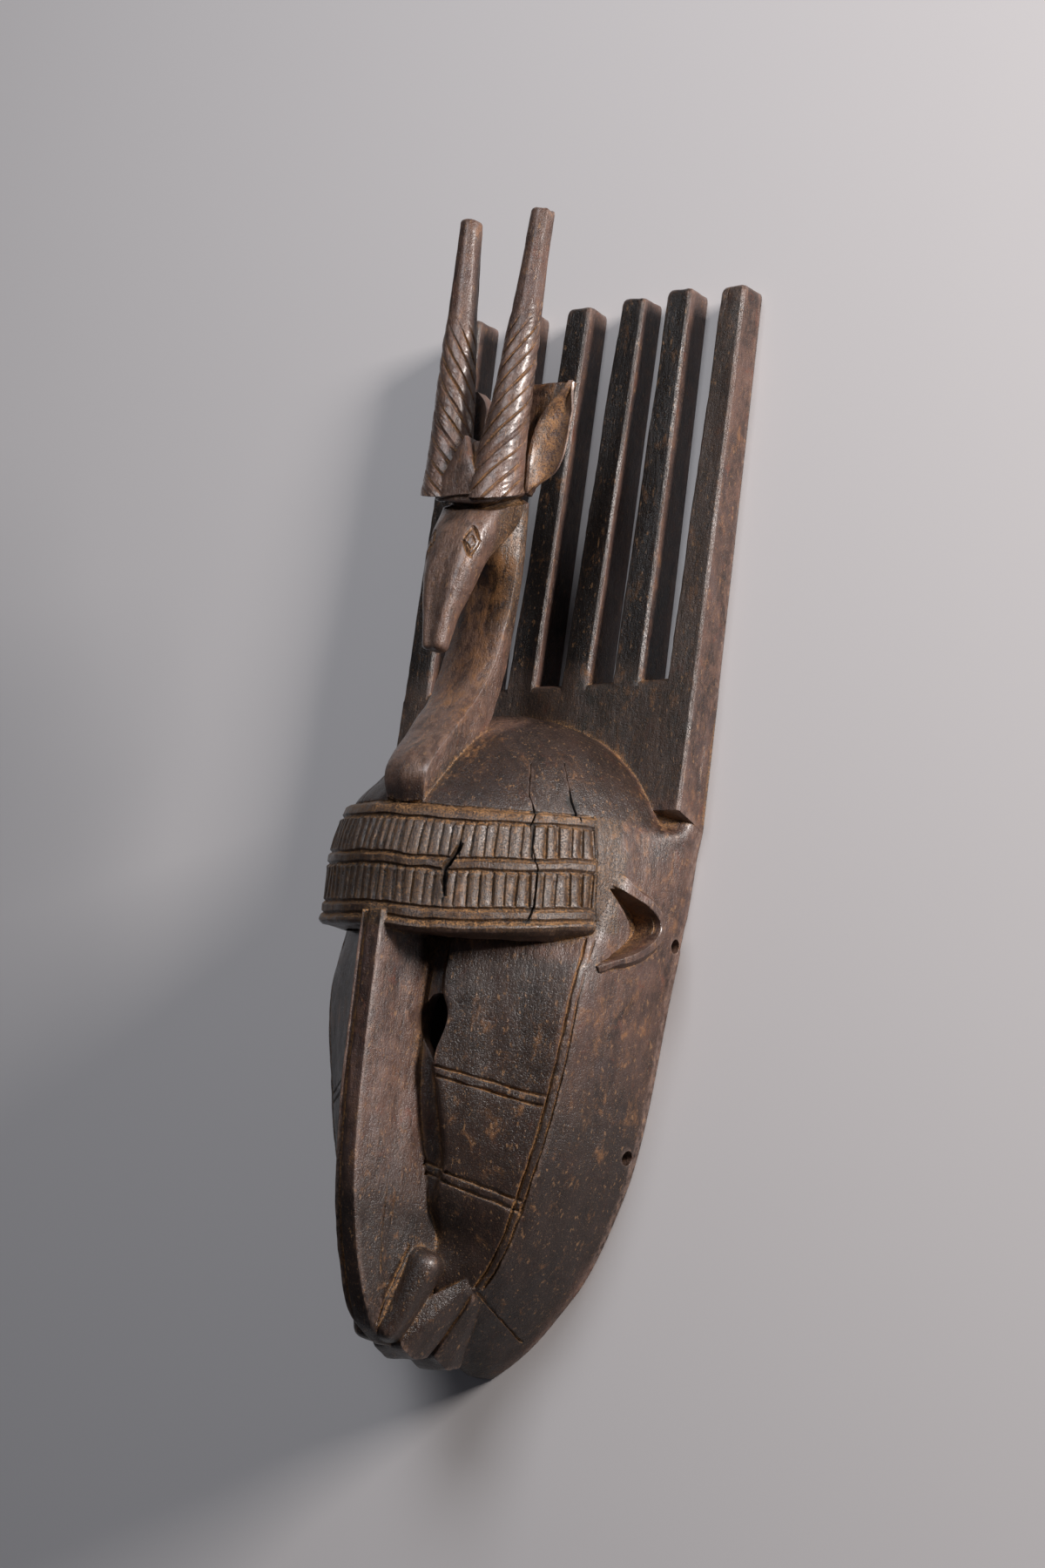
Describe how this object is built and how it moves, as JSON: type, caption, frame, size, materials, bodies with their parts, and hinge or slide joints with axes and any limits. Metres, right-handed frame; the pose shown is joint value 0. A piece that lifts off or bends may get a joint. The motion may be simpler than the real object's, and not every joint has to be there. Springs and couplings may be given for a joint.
{
  "type": "carved wooden face mask",
  "caption": "Bamana style face mask in dark wood: long face, carved brow band, upright comb of prongs and an antelope head, hollow behind.",
  "frame": {"origin": "middle of the bounding box at its lowest plane, the flat back rim on which the mask lies", "axes": "+X to the viewer's right, +Y from the chin towards the crown and the comb, +Z out of the face"},
  "size_m": [0.204, 0.622, 0.141],
  "materials": {
    "wood": "dark patinated hardwood, satin on worn edges, tan dust in the grooves"
  },
  "bodies": {
    "root": {"mask": "wood"}
  },
  "joints": []
}
